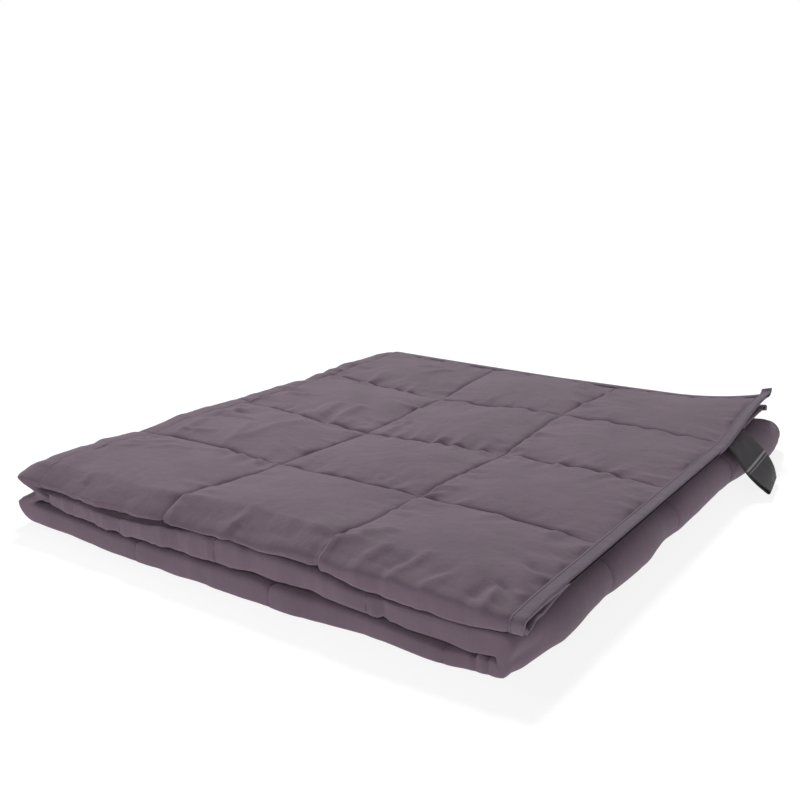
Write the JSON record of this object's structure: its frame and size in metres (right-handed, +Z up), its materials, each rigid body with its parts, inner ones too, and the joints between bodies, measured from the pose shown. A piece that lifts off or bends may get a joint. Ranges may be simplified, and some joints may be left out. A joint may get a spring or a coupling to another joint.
{
  "type": "folded weighted blanket",
  "caption": "Quilted weighted blanket with sewn square pockets and a bound edge, folded in half and then in thirds into a flat pile, with a woven loop label at its side",
  "frame": {"origin": "middle of the folded pile's footprint, on the surface that it lies on", "axes": "+Z up out of the pile, +Y to the back along the pile's longer side, +X to the right, towards the end with the label"},
  "size_m": [0.699, 0.7562, 0.0787],
  "materials": {
    "quilted_panel": "plain-woven brushed microfibre, mauve grey, matt with a faint sheen, quilted",
    "edge_binding": "woven binding strip, slightly bluer grey than the panel, one row of stitching",
    "side_label": "black woven ribbon, no lettering"
  },
  "bodies": {
    "root": {"quilted_panel": "quilted_panel", "edge_binding": "edge_binding", "side_label": "side_label"}
  },
  "joints": []
}
